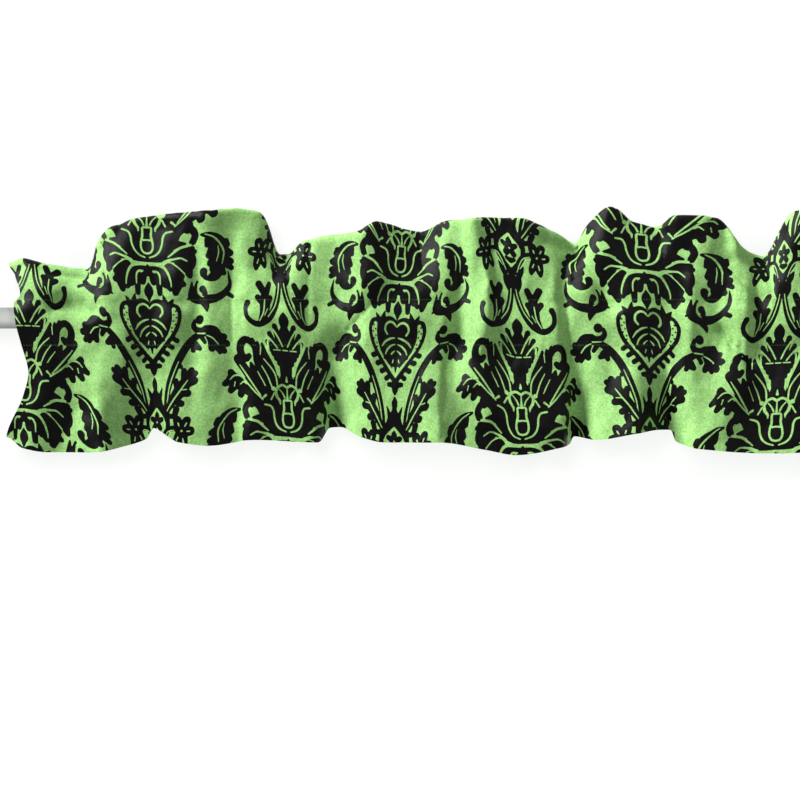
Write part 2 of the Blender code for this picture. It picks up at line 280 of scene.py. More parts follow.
def fineFolds(points, arcs):
    # small creases on the front, and puckers that fade away from the two seams, moved along the normal
    normal = gridNormals(points)
    across, height = points[..., 0], points[..., 2]
    front = np.arange(points.shape[1]) < sum(cloth["rowCounts"][:2]) - 12  # up to 12 rows before the crest
    lift = np.where(front, creaseDepth(cloth["fineCreases"], across, height), 0)
    (drift, *drifting), (vary, *varying) = cloth["puckerWander"], cloth["puckerSizes"]
    phase = drift * wander(*drifting, across, 0 * across)
    wave = np.sin(across * 2 * math.pi / cloth["puckerPitch"] + phase)
    size = cloth["puckerDepth"] * lookUp(cloth["puckerSpots"], across)
    size = size * wave * (0.6 + vary * wander(*varying, across, 0 * across)) * front
    for seam, share in zip((cloth["lowerSeam"], cloth["upperSeam"]), cloth["puckerShares"]):
        lift = lift + share * size * np.exp(-np.abs(height - seam) / cloth["puckerReach"])
    for high, *which in cloth["waves"]:
        lift = lift + high * wander(*which, across, arcs)
    clear = np.clip(np.hypot(points[..., 1], height) - cloth["rod"] - cloth["rodClear"], 0, None)
    return points + normal * np.maximum(lift, -clear)[..., None]


def partLayers(points):
    # where the folded-back part comes too near the front, it moves back: its depth is at least the deepest
    # front point at its height on the five nearest sections, plus the gap between the two layers
    crest = sum(cloth["rowCounts"][:2])
    front, behind = points[:, :crest], points[:, crest:]
    count, room = len(points), np.full(behind.shape[:2], -np.inf)
    for i in range(count):
        for near in range(max(i - 2, 0), min(i + 3, count)):
            room[i] = np.maximum(room[i], np.interp(behind[i, :, 2], front[near, :, 2], front[near, :, 1]))
    share = np.clip((behind[:, :1, 2] - behind[..., 2]) / cloth["layerFade"], 0, 1)
    push = np.clip(room + cloth["layerGap"] * share - behind[..., 1], 0, None) * share
    soft = push
    for axis in (0, 1):
        padded = np.pad(soft, [(2, 2) if k == axis else (0, 0) for k in (0, 1)], mode="edge")
        places = [np.take(padded, np.arange(k, k + soft.shape[axis]), axis=axis) for k in range(5)]
        soft = sum(weight * part for weight, part in zip(cloth["layerBlur"], places))
    points = points.copy()
    points[:, crest:, 1] += np.maximum(soft, push)
    return points


x, sheetPoints, sheetArcs = clothGrid()
sheetPoints = partLayers(fineFolds(sheetPoints, sheetArcs))
sheetNormals = gridNormals(sheetPoints)
print("cloth surface", sheetPoints.shape, "hem to tail", np.ptp(sheetArcs, axis=1).mean().round(1), "mm")

# one half of the damask motif, mirrored about its own axis; each row is strokes of ink, or of bare cloth,
# laid over the rows above it: a stroke runs softly through points (across, down, width), in units of 1.2 mm
# from the bowl's ring
damask = {
    "across": 142,  # from one column to the next
    "down": 354,
    "grain": 0.5,
    "sides": (-10, 92),
    "ends": (-110, 276),
    "nearSide": -8,  # strokes wholly beyond this are left out
    "none": -9.0,  # the depth where no stroke lies
    "margin": 3,  # how far round a stroke its depth is worked out
    "motif": [
        # crown of leaves over the urn
        ("ink",
         ((0, -66, 18), (0, -75, 18), (0, -85, 13), (0, -91.5, 8), (0, -98, 11.6), (0, -103, 6), (0, -106, 2)),
         ((4, -72, 8), (8, -83, 7), (10.6, -92, 6)), ((8, -69, 8), (13, -77, 6.4), (16.4, -84, 5.4)),
         ((11, -66, 9), (16, -71, 6.4), (19.4, -76, 4))),
        ("bare", ((2.8, -72, 1.4), (7, -80.5, 1.6), (12.4, -88.5, 1.8)),
         ((8.4, -70, 1.4), (13, -75.6, 1.5), (18.4, -81, 1.7))),
        # urn
        ("ink", ((0, -60, 14), (0, -48, 14), (0, -42, 13), (0, -36, 17), (0, -33, 14)),
         ((0, -62.5, 9), (12.6, -64, 6)), ((0, -58, 10), (9.6, -60, 7)), ((0, -54, 10), (6.4, -55, 7))),
        ("bare", ((0, -68, 1.3), (2.6, -68, 1.3)), ((5.4, -68, 1.3), (12.6, -68, 1.2)),
         ((0, -41.4, 0.8), (0, -37, 3))),
        # tall leaves beside the urn
        ("ink", ((9, -31, 6), (14, -44, 9), (20.6, -57, 9), (24, -67, 6), (25, -73, 2.6)),
         ((15, -26, 8), (22, -40, 13), (28, -54, 13), (31, -64, 9), (34.6, -77, 3.4)),
         ((27, -58, 8), (29, -67, 6), (29.6, -74, 3)),
         ((21, -25, 9), (29, -38, 12.6), (36, -48, 7), (38, -53, 3)), ((31, -65, 7), (35.4, -73, 7),
         (42, -76.4, 7.4), (48, -71, 8), (48, -62, 8.6), (43, -57.6, 7.6), (39.4, -60, 6))),
        ("bare", ((18.6, -76, 2), (17.4, -64, 2), (12, -52.6, 1.9), (9.4, -43, 1.4)),
         ((24, -58, 1), (16.6, -50, 1.5), (11.8, -42, 1.6), (10.4, -31, 1.6)),
         ((26.6, -51, 0.9), (20.6, -41, 1.4), (16.4, -30, 1.3)), ((27.4, -62, 0.9), (26.6, -70, 1.3)),
         ((31.4, -45, 0.9), (26, -36, 1.2), (22.6, -29, 1))),
        # spray and its lobed leaf
        ("ink", ((24, -17, 7), (33, -30, 10), (43, -44, 10), (52, -57, 9.6)),
         ((28, -16, 8), (42, -27, 13), (53, -34, 15), (60, -36, 13)), ((57, -39, 8), (60.6, -43.4, 7.6)),
         ((61, -36, 10), (67.4, -33, 6.4)), ((57, -31, 10), (61.4, -25.6, 6.8)),
         ((48, -28, 10), (51, -21.6, 7.4)), ((37, -22, 9), (41, -16, 7), (39.4, -11.4, 6))),
        ("bare", ((29, -21, 1.4), (39, -35, 1.7), (47, -46, 1.6), (50.4, -51, 1)), ((62, -36.4, 1),
         (57, -40.4, 1.6), (49.4, -39.6, 1.7), (42, -32, 1.6), (35, -24.6, 1.5), (27, -17.4, 1.3)),
         ((51, -31.6, 1), (47, -34.4, 1.6), (44, -32, 1)), ((57.6, -29.6, 0.9), (56.4, -34, 1.4))),
        # small petals over the bowl, a U-shaped line in it and a ring on its bar
        ("ink", ((0, -14, 34), (0, -1, 38)), ((19, -5, 19), (18.6, 4, 18)), ((10, 8, 20),),
         ((15, -14, 14), (23, -22, 9), (25, -29, 5)), ((0, 14.6, 7), (14, 14.4, 7.4), (22, 12, 8))),
        ("bare", ((0, -30.6, 2.6), (5.4, -33, 2.4), (12, -28.6, 2.6), (11.8, -22, 3), (9, -17.6, 2.6)),
         ((15, -29, 4.4),), ((14.4, -24.6, 1.6), (18, -18, 1.6)), ((23.4, -22, 2.4), (27, -19, 1.6)),
         ((0, -29.6, 1), (0, -22, 1.8), (0, -20, 2.6)), ((9, -29, 0.9), (5, -24.6, 1.5), (3, -20.4, 1.8)),
         ((25, -12.8, 1.6), (18.6, -11.4, 2), (15.9, -6.5, 2), (15.3, 0, 1.9), (13, 6.7, 1.9), (8.7, 11, 1.8),
         (2.6, 13.2, 1.5)), ((0, -17.6, 1.8), (4.2, -17.2, 2), (4.2, -9, 2.2), (5.9, -2, 2), (5.9, 4, 2),
         (3.7, 8.1, 2), (0, 9.1, 2)), ((8.4, -17, 2.4), (8.2, -13.6, 1)), ((0, -5, 1.6), (3.4, -4.6, 2))),
        ("ink", ((0, 1.7, 8.4),)),
        # scrolled arm and curled leaf at each side of the bowl
        ("ink", ((26, -4, 11), (30.6, -10.6, 8.6), (37, -14.4, 8), (43.4, -12.4, 7.4), (46.8, -6.6, 7),
         (45, -0.4, 7.4)), ((27, 1, 10), (32, 0.4, 6), (37.6, 1, 3))),
        ("bare", ((36, -5.8, 5), (40, -6, 5), (40.6, -3, 3))),
        ("ink", ((24, 15, 7), (32, 13, 13), (39.4, 13, 15), (42.6, 20, 14), (41, 26, 11), (43.4, 33.6, 5.6)),
         ((37, 9, 8), (44.6, 6.6, 6)), ((43, 12, 8), (47.4, 9.6, 5)), ((32, 18, 9), (38, 24, 9))),
        ("bare", ((21.6, 13, 1.4), (27.4, 8.6, 2.2), (33, 4.6, 2.6), (43, 2.6, 2.2)),
         ((17, 17.9, 2.4), (22.6, 16.4, 3), (27, 15.6, 2), (34, 14.8, 1.7), (40, 18.4, 1.4)),
         ((23, 18.6, 1.2), (30.4, 23.6, 2), (37, 31, 3))),
        # skirt of hanging leaves
        ("ink", ((0, 25.6, 6), (8, 24.4, 7), (16, 27.6, 9), (19, 34, 9), (18.4, 41, 6.6)),
         ((22, 24, 10), (28, 30.6, 13), (30.6, 38, 13), (29, 44.6, 10), (28.4, 49, 6.4)),
         ((31, 30, 8), (35.4, 33.4, 5.6)), ((32, 38, 8), (36.6, 41.4, 5.6)), ((20, 40, 8), (23, 46, 4)),
         ((0, 31, 7), (4.4, 32, 8), (6, 37.6, 7)), ((11, 31, 8), (11.6, 40, 7), (11.8, 49, 5.8))),
        ("bare",
         ((0, 20.4, 2.4), (9, 20.6, 2.6), (16.6, 23.4, 2.6), (21.4, 30, 2.2), (24, 38.6, 1.6), (24.2, 43, 1)),
         ((5.4, 27, 1.6), (9.7, 27.6, 1.9), (12.4, 32, 1.7), (12.6, 40, 1.1)), ((0, 33.6, 3), (0, 40, 4))),
        ("ink", ((0, 21, 2), (0, 24.4, 5.6), (0, 28.4, 2)),
         ((0, 39, 2), (0, 46.6, 10), (0, 51, 6.4), (0, 57, 1.6))),
        # heart with a dotted rim
        ("ink", ((0, 72, 16), (9, 66, 18), (20, 72, 22), (17, 82, 22), (9, 95, 20), (0, 106, 14)),
         ((0, 84, 34), (0, 94, 22))),
        ("bare", ((25.6, 66, 4), (27, 74, 6.4), (24.4, 83, 5.4), (20, 91, 3.6)),
         ((20.6, 91, 4), (12.4, 101, 4.4), (0, 113, 5)), ((0, 107, 9),)),
        ("ink", ((23, 60.6, 4), (29.4, 64, 4), (31.6, 71, 4.2), (30, 80, 4.2), (24, 91, 4.4), (13, 104, 4.6),
         (0, 119, 5.4)), ((0, 60.6, 3), (4, 57.4, 3.8), (9, 56.4, 4), (14.6, 58.6, 4), (20, 62, 4)),
         ((17, 72, 6), (18, 64, 8), (16.6, 57, 5.4), (15, 51, 1.4)),
         ((19, 66, 8), (22, 60.6, 6.4), (25.4, 55.6, 1.6))),
        ("bare",
         ((0, 64.6, 1.2), (3.4, 60.8, 2), (8, 60, 2.2), (12.6, 63, 2.2), (13.8, 68.6, 2.2), (11, 72.6, 2)),
         ((1.6, 75, 1), (7, 76.4, 2), (13, 80.6, 2), (16.6, 86, 1))),
        ("ink", ((2, 67, 6), (7.6, 67.4, 9)), ((0, 72.6, 3.4), (0, 79, 3)), ((27.6, 68, 2),),
         ((25.4, 71.4, 2),), ((28, 74.4, 2),), ((24.6, 77.6, 2),), ((26.6, 81, 2),), ((22.8, 84.4, 2),),
         ((22.4, 88, 1.8),)),
        ("bare", ((1.6, 81.4, 1), (6, 83.4, 1.8), (10.4, 88, 1.8), (12.4, 93, 0.9)),
         ((1.4, 88, 0.9), (4.6, 90.4, 1.6), (7.2, 94.6, 1.5), (8, 99, 0.8)),
         ((1, 94.4, 0.8), (3, 97.2, 1.3), (4.2, 101, 0.8))),
        ("ink", ((0, 94, 6), (0, 102, 4.4), (0, 109, 1.4)), ((2, 103, 2.4), (6, 101, 3), (9, 97.6, 3)),
         ((8, 94, 6), (12.4, 96, 4.4)), ((23, 95, 5), (27, 97.6, 5.4)), ((17.6, 101.4, 5), (21.8, 104, 5.4)),
         ((12.4, 107.6, 5), (16.4, 110.4, 5.4)), ((7.4, 113.6, 5), (10.8, 116.6, 5)),
         ((0, 121.6, 9), (0, 127, 6.6), (0, 131, 2.4)), ((3, 121.8, 6), (7.2, 122, 5))),
        # lotus
        ("ink", ((0, 134.6, 2.6), (0, 140, 6.8), (0, 146.4, 5.4), (0, 152, 10), (0, 160, 18)),
         ((4, 157, 6), (6.2, 150.6, 4.2), (8.6, 144.4, 1.4)), ((3.4, 160, 9), (8, 167.6, 8.6), (12, 175, 6))),
        # branch with its buds
        ("ink", ((12, 174, 4.6), (12.6, 160, 5.4), (15.5, 146, 6.6), (21, 130, 7.8), (29.5, 114, 8.4),
         (40, 100.6, 8.2), (51, 93.4, 7), (62, 92.4, 6), (68, 96, 5)), ((26, 119, 6), (29.6, 124, 4.4)),
         ((43, 99, 8), (47, 104, 8.4), (51.4, 107, 5)), ((45, 102, 7), (43.6, 108.6, 5.4)),
         ((54, 95, 6), (57.6, 101, 4.4))),
        ("bare", ((13.6, 160, 0.9), (16.4, 146, 1.2), (21.4, 131, 1.2), (27.4, 118.6, 0.8))),
        ("ink", ((74, 93.4, 2.4), (67, 89, 8), (57.6, 88, 8), (50.4, 88.6, 6.6), (46.4, 84.6, 5.4)),
         ((52.6, 78, 9.6),), ((47, 79, 4), (45.6, 84, 5.4), (48, 88, 6))),
        ("bare", ((49.6, 83.8, 1.8), (54, 84.8, 2.4), (60, 82, 1.6)),
         ((49, 91.6, 1.1), (57, 92.2, 1.5), (66, 92.8, 1.4), (73, 96, 0.9))),
        # drooping leaf at the branch's end
        ("ink", ((62, 94, 7), (68, 99, 15), (71, 104, 13), (72, 112, 5)), ((68, 97, 10), (77, 97.4, 7.4)),
         ((70, 101, 10), (79.6, 104.4, 7.4)), ((66, 99, 10), (64, 107.6, 7.4)),
         ((72, 106, 8), (76.4, 111.6, 6))),
        ("bare", ((60, 94, 0.9), (66, 97.4, 1.4), (71, 104, 1.1))),
        # oak leaf under the branch
        ("ink", ((12, 170, 4), (20, 157, 10), (30, 146, 14), (36, 136.6, 11), (40.4, 128.6, 7)),
         ((33, 142, 10), (43, 139, 8.4)), ((28, 149, 9), (36, 151, 7.6)), ((22, 157, 8), (28.6, 160.6, 7)),
         ((33, 136, 8), (32.6, 128.4, 6.4)), ((26, 145, 8), (24, 137.6, 5.6)),
         ((40, 134, 8), (44.6, 131.6, 6)), ((11.6, 165, 5), (15, 171.6, 5), (21, 172, 6), (23.6, 165.6, 7))),
        ("bare", ((13.4, 167, 1), (21, 156, 1.5), (29.6, 146, 1.5), (36, 138, 1)),
         ((29, 147, 1), (35, 147, 0.9))),
        # ogee with its flower
        ("ink", ((11, 170, 5.4), (14, 178, 5.2), (12.6, 188, 5.4), (5, 197, 7), (0, 203, 8))),
        ("bare", ((0, 165, 2.6), (5, 170.6, 2.6), (9, 177, 2.8), (8, 184, 2.8), (0, 190, 3)), ((0, 178, 14),)),
        ("ink", ((0, 169, 3), (0, 172.6, 6.6), (0, 176, 5)), ((0, 178, 7), (6, 175.4, 5.8)),
         ((0, 178, 7), (4.2, 184, 5.8))),
        ("bare", ((0, 178.4, 1.8),)),
        ("ink", ((0, 190, 6), (4, 189, 4))),
        # five-petalled flower on its curved stem
        ("ink", ((28.6, 188, 13), (24, 176.6, 9)), ((28.6, 188, 13), (33.6, 178, 9)),
         ((28.6, 188, 13), (37.6, 188.6, 9.4)), ((29, 190, 12), (31, 200, 8.4), (31.4, 205, 4.4)),
         ((28, 190, 12), (22.4, 199, 7.6), (21.4, 202.6, 4)),
         ((20, 184.6, 6), (14, 185.6, 5.4), (8.6, 191.6, 5.4), (5, 201, 5))),
        ("bare", ((28.6, 187.6, 2.2),), ((25, 179.6, 1.5), (26, 182.4, 1.2)),
         ((33.4, 180.4, 1.5), (32, 183, 1.2)), ((37, 188.6, 1.5), (34.4, 188.4, 1.2)),
         ((30.8, 199.6, 1.5), (30, 195.4, 1.2)), ((23.4, 196.6, 1.5), (25, 193.6, 1.2)),
         ((20.6, 186.4, 1), (14, 187.6, 1.2), (9.4, 193.4, 1.1), (6, 201, 0.8))),
        ("ink", ((13, 196.6, 2), (9, 203, 6.4), (3, 212, 4)), ((9, 208, 2), (6.6, 214, 6), (3, 222, 4))),
        # stem that curls into a hook, with a tulip-shaped leaf inside it
        ("ink", ((0, 200, 7), (1.8, 210, 5.2), (3.2, 224, 5.8), (7.6, 240, 6.6), (16, 254.6, 6.8),
         (28, 261.4, 6.4), (38, 256, 5), (40.6, 246.6, 5), (38.6, 240.6, 6.4))),
        ("bare", ((2.6, 218, 0.9), (4, 227, 1.1), (8.6, 241, 1.1), (16.6, 253, 1))),
        ("ink", ((26, 260, 4), (21, 250, 9), (19.6, 239, 12), (20, 229, 9)),
         ((19, 241, 9), (13.4, 233.4, 5.6)), ((20, 241, 9), (28, 234.6, 6.4)),
         ((19, 230, 8), (14.4, 220, 6.6)), ((20.6, 230, 8), (27, 221, 8))),
        ("bare", ((26, 258, 1), (21.4, 249, 1.5), (20.4, 236, 1.2)), ((20.4, 252, 0.8), (17, 245, 1))),
        # comma-shaped leaf
        ("ink", ((53, -6.6, 3), (61, -4.6, 8), (67.6, 3, 16), (71.4, 14, 20), (71.6, 25, 17), (68.4, 34.6, 12),
         (61.6, 36, 7.4), (56.6, 32.6, 6)), ((57.4, 30.4, 8.6),), ((60, -1, 8), (59.6, 4, 6)),
         ((65, 9, 10), (62, 14.6, 7)), ((67, 19, 12), (64, 22.6, 7)), ((76, 3, 8), (78.4, 6, 6)),
         ((78, 12, 8), (83, 14.6, 6.4)), ((78, 20, 8), (84.4, 22.6, 6.4)), ((79, 24, 8), (85.4, 29, 5.4)),
         ((75, 31, 8), (77.6, 34, 5))),
        ("bare", ((56, -7, 0.9), (64.6, -3.2, 1.6), (72, 4.6, 1.7), (76, 13, 1.6), (75.4, 24, 0.9)),
         ((69.6, 6, 0.8), (71, 13, 1.2), (69.4, 21, 0.8)), ((62.6, 31.6, 3), (61.6, 34, 1))),
        # crescent under it
        ("ink", ((45, 40, 2), (44.4, 47, 5.4), (45.6, 54, 10), (52, 57.6, 10), (61, 58.4, 9.6),
         (70, 57.4, 8.4), (78, 53.6, 7.4), (83.4, 46, 5), (82.6, 38, 3), (81.4, 32, 1)),
         ((50.6, 40, 3), (48.6, 47, 5), (47, 54, 6)), ((58, 56, 6), (58.4, 51.6, 5.4), (55.8, 47.6, 7.4)),
         ((57, 61, 8), (59.6, 65, 6.4), (60.6, 70, 2)), ((80, 54, 5), (86.6, 57.8, 4.4)),
         ((45, 54, 5), (40, 56.6, 2))),
        ("bare", ((51.6, 42, 1.5), (51, 48.6, 1.7), (53.4, 53.4, 1.5), (56.6, 55.4, 1))),
    ],
}


def softLine(points, fine=5):
    # a curve through the points: on each span a cubic whose end slopes are half the step past both neighbours
    points = np.array(points, float)
    if len(points) < 3:
        return points
    padded = np.vstack([2 * points[0] - points[1], points, 2 * points[-1] - points[-2]])
    t = (np.arange(fine) / fine)[None, :, None]
    a, b, c, d = (padded[i : len(points) - 1 + i, None] for i in range(4))
    line = 0.5 * (2 * b + (c - a) * t + (2 * a - 5 * b + 4 * c - d) * t**2 + (3 * b - a - 3 * c + d) * t**3)
    return np.vstack([line.reshape(-1, 3), points[-1]])


def strokeField(line, x, y):
    # how deep (x, y) lies inside the stroke: the largest over its spans of half width less distance
    best = np.full(np.broadcast(x, y).shape, damask["none"])
    ends = np.vstack([line, line[-1:]]) if len(line) == 1 else line
    for (x0, y0, w0), (x1, y1, w1) in zip(ends[:-1], ends[1:]):
        dx, dy = x1 - x0, y1 - y0
        t = np.clip(((x - x0) * dx + (y - y0) * dy) / max(dx * dx + dy * dy, 1e-9), 0, 1)
        gap = np.hypot(x - x0 - t * dx, y - y0 - t * dy)
        best = np.maximum(best, (w0 + (w1 - w0) * t) / 2 - gap)
    return best


def motifField(settings):
    # the half motif on a grid, and the near part of its mirror image: ink takes the larger depth, and bare
    # cloth the smaller of the depth so far and less its own
    grain = settings["grain"]
    x, y = (np.arange(low, high + grain / 2, grain) for low, high in (settings["sides"], settings["ends"]))
    field = np.full((len(y), len(x)), settings["none"])
    for kind, line in [(kind, softLine(stroke)) for kind, *strokes in settings["motif"] for stroke in strokes]:
        for side in (1, -1):
            placed = line * (side, 1, 1)
            if placed[:, 0].max() + placed[:, 2].max() < settings["nearSide"]:
                continue
            reach = placed[:, 2].max() / 2 + settings["margin"]
            low, high = placed[:, :2].min(axis=0) - reach, placed[:, :2].max(axis=0) + reach
            c0, c1 = np.searchsorted(x, (low[0], high[0]))
            r0, r1 = np.searchsorted(y, (low[1], high[1]))
            depth = strokeField(placed, x[None, c0:c1], y[r0:r1, None])
            part = field[r0:r1, c0:c1]
            field[r0:r1, c0:c1] = np.maximum(part, depth) if kind == "ink" else np.minimum(part, -depth)
    return x, y, field


def damaskField(settings):
    # the motifs of two neighbouring columns, on the strip between their axes and one repeat high
    grain, across, down = settings["grain"], settings["across"], settings["down"]
    x, y, motif = motifField(settings)
    wide, high = round(across / grain) + 1, round(down / grain)
    field = np.full((high, wide), settings["none"])
    for step, shift in ((1, 0), (-1, down / 2)):  # the second column is mirrored and half a repeat lower
        c = np.arange(wide)[::step] + round(-x[0] / grain)
        inside = np.flatnonzero(c < len(x))
        rows = (np.arange(len(y)) + round((y[0] + shift) / grain)) % high
        for part in (slice(0, high), slice(high, None)):
            spots = np.ix_(rows[part], inside)
            field[spots] = np.maximum(field[spots], motif[part][:, c[inside]])
    return field


printPlace = {
    "unit": 1.2,
    "ring": 104,  # the first column's ring lies this far below the rod line, in print units
    # each column's axis across the cloth: near the top, at the rod and near the hem
    "columns": (
        (-75, -75, -75), (99, 96, 90), (237, 243, 250), (396, 402, 407), (542, 536, 533), (669, 680, 686),
        (828, 836, 837), (999, 992, 987), (1147, 1147, 1147), (1300, 1300, 1300), (1450, 1450, 1450),
    ),
    "columnHeights": (88, -14, -128),
    "shift": (  # x, how much lower the print lies there
        (70, -28), (96, -27.5), (150, -19.5), (240, 0), (318, -4), (342, -6), (407, -2), (480, 5),
        (542, 19), (594, 7), (648, -5), (680, 4), (732, 3), (756, 5), (828, 7.5), (906, 18), (930, 14),
        (997, 9), (1147, 4), (1290, 8),
    ),
    "turns": 14,  # steps taken to find a place on the grid, and halvings to find its edge
    "leastSlope": 0.3,
    "past": 4,  # columns that a search may go beyond the edge
    "overshoot": 0.03,
    "margin": 5,
    "thinning": 0.11,
    "bendSlack": 0.22,
    "bendTurns": 4,
}


def printGrid():
    # where each grid point lies on the print: across from the cloth's own length along each row, with the
    # columns pinned, and up from its length above the rod line
    columns, order = np.array(printPlace["columns"], float), np.argsort(printPlace["columnHeights"])
    heights = np.array(printPlace["columnHeights"], float)[order]
    mean = sheetArcs.mean(axis=0)
    places = np.stack([np.interp(mean, heights, column[order]) for column in columns], axis=1)
    steps = np.linalg.norm(np.diff(sheetPoints, axis=0), axis=-1)
    length = np.concatenate([np.zeros((1, steps.shape[1])), np.cumsum(steps, axis=0)])
    marks = (np.arange(len(columns)) - 1) * damask["across"]
    across = np.empty_like(length)
    for j, (place, line, run) in enumerate(zip(places, sheetPoints[..., 0].T, length.T)):
        beyond = place - np.clip(place, line[0], line[-1])
        across[:, j] = curveThrough(np.interp(place, line, run) + beyond, marks, run)
    return across, sheetArcs / printPlace["unit"] + printPlace["ring"] + lookUp(printPlace["shift"], x)[:, None]


def sample(table, column, row):
    # bilinear value of a grid at fractional places
    c = np.clip(column.astype(int), 0, table.shape[0] - 2)
    r = np.clip(row.astype(int), 0, table.shape[1] - 2)
    s, t = column - c, row - r
    if table.ndim == 3:
        s, t = s[:, None], t[:, None]
    low = table[c, r] * (1 - s) + table[c + 1, r] * s
    high = table[c, r + 1] * (1 - s) + table[c + 1, r + 1] * s
    return low * (1 - t) + high * t


def rowAt(column, up):
    # the grid row whose height on the print is up, on known columns: straight between hem, rod, crest and tail
    knots = (0, cloth["rowCounts"][0], sum(cloth["rowCounts"][:2]), printUp.shape[1] - 1)
    marks = [sample(printUp, column, np.full_like(column, row)) for row in knots]
    spans = [low + (high - low) * (up - start) / (end - start)
             for low, high, start, end in zip(knots, knots[1:], marks, marks[1:])]
    return np.select([up < marks[1], up < marks[2]], spans[:2], spans[2])


def gridPlace(spots):
    # the fractional column and row of each print point, found by following the slope of the print's grid
    across, up = spots.T
    middle = printAcross[:, cloth["rowCounts"][0]]
    column = np.interp(across, middle, np.arange(len(middle)))
    slopes = np.gradient(printAcross, axis=0)
    past = printPlace["past"]
    for _ in range(printPlace["turns"]):
        row = rowAt(column, up)
        error = sample(printAcross, column, row) - across
        slope = sample(slopes, column, np.clip(row, 0, slopes.shape[1] - 1))
        column = column - error / np.maximum(slope, printPlace["leastSlope"])
        column = np.clip(column, -past, len(middle) - 1 + past)
    return column, rowAt(column, up)


def outlines(field, grain):
    # marching squares: the lines where the field changes sign, as one list of points and one of their pairs
    inked = field > 0
    points, keys = [], {}

    def crossings(a, b, offset, kind):
        hit = np.argwhere(inked[a] != inked[b])
        first, second = field[a][tuple(hit.T)], field[b][tuple(hit.T)]
        t = first / (first - second)
        keys.update(((kind, r, c), len(points) + n) for n, (r, c) in enumerate(hit))
        points.extend((hit[:, ::-1] + np.array(offset) * t[:, None]) * grain)

    full, early, late = slice(None), slice(0, -1), slice(1, None)
    crossings((full, early), (full, late), (1, 0), "h")
    crossings((early, full), (late, full), (0, 1), "v")
    case = inked[:-1, :-1] * 1 + inked[:-1, 1:] * 2 + inked[1:, 1:] * 4 + inked[1:, :-1] * 8
    around = (("h", 0, 0), ("v", 0, 1), ("h", 1, 0), ("v", 0, 0))
    joins = {1: (3, 0), 2: (0, 1), 3: (3, 1), 4: (1, 2), 6: (0, 2), 7: (3, 2), 8: (2, 3), 9: (2, 0), 11: (2, 1),
             12: (1, 3), 13: (1, 0), 14: (0, 3), 5: (3, 0, 1, 2), 10: (0, 1, 2, 3)}
    pairs = []
    for r, c in np.argwhere((case > 0) & (case < 15)):
        ends = [keys[around[side][0], r + around[side][1], c + around[side][2]] for side in joins[case[r, c]]]
        pairs += zip(ends[::2], ends[1::2])
    return np.array(points), pairs


def chains(pairs):
    # runs of joined pairs, closed ones with their first point again at the end
    left = {}
    for a, b in pairs:
        left.setdefault(a, set()).add(b)
        left.setdefault(b, set()).add(a)
    runs = []
    for start in sorted(left, key=lambda point: len(left[point])):
        while left[start]:
            run, here = [start], start
            while left[here]:
                there = min(left[here])
                left[here].discard(there)
                left[there].discard(here)
                run.append(there)
                here = there
            runs.append(run)
    return runs


def thinned(line, slack):
    # drops the points that lie closer than slack to the chord of their neighbours that stay
    keep, half = np.zeros(len(line), bool), len(line) // 2
    keep[[0, half, -1]] = True
    spans = [(0, half), (half, len(line) - 1)]
    while spans:
        a, b = spans.pop()
        if b - a < 2:
            continue
        chord, inner = line[b] - line[a], line[a + 1 : b] - line[a]
        gap = np.abs(inner[:, 0] * chord[1] - inner[:, 1] * chord[0]) / max(math.hypot(*chord), 1e-9)
        far = a + 1 + int(np.argmax(gap))
        if gap.max() > slack:
            keep[far] = True
            spans += [(a, far), (far, b)]
    return line[keep]


def printLines():
    # the ink's field over one repeat, and its outlines over the whole cloth as points and pairs of them
    field = damaskField(damask)
    field = np.vstack([field, field[:1]])
    wide, high = damask["across"], damask["down"]
    spots, pairs = outlines(field, damask["grain"])
    runs = [thinned(spots[run], printPlace["thinning"]) for run in chains(pairs)]
    lowest, highest = printUp.min() - printPlace["margin"], printUp.max() + printPlace["margin"]
    points, edges, start = [], [], 0
    for k in range(int(printAcross.min() // wide), int(printAcross.max() // wide) + 1):
        for m in range(int(-highest // high) - 1, int(-lowest // high) + 2):
            for across, down in (run.T for run in runs):
                across = wide - across if k % 2 else across
                placed = np.stack([across + k * wide, -(down + m * high)], axis=1)
                if placed[:, 1].max() < lowest or placed[:, 1].min() > highest:
                    continue
                numbers = start + np.arange(len(placed))
                start += len(placed)
                points.append(placed)
                edges.append(np.stack([numbers[:-1], numbers[1:]], axis=1))
    return field, np.vstack(points), np.vstack(edges)


def inside(spots):
    column, row = gridPlace(spots)
    return (column > 0) & (column < printUp.shape[0] - 1) & (row > 0) & (row < printUp.shape[1] - 1)


def clipped(points, edges):
    # the outlines inside the cloth's edges, each cut line ending just past the edge
    held = inside(points)
    whole = edges[held[edges].all(axis=1)]
    cut = edges[held[edges].sum(axis=1) == 1]
    cut = np.where(held[cut[:, :1]], cut, cut[:, ::-1])
    low, high = np.zeros(len(cut)), np.ones(len(cut))
    start, reach = points[cut[:, 0]], points[cut[:, 1]] - points[cut[:, 0]]
    for _ in range(printPlace["turns"]):
        middle = (low + high) / 2
        within = inside(start + reach * middle[:, None])
        low, high = np.where(within, middle, low), np.where(within, high, middle)
    ends = start + reach * high[:, None] + unit(reach) * printPlace["overshoot"]
    edges = np.vstack([whole, np.stack([cut[:, 0], len(points) + np.arange(len(cut))], axis=1)])
    used, edges = np.unique(edges, return_inverse=True)
    return np.vstack([points, ends])[used], edges.reshape(-1, 2)


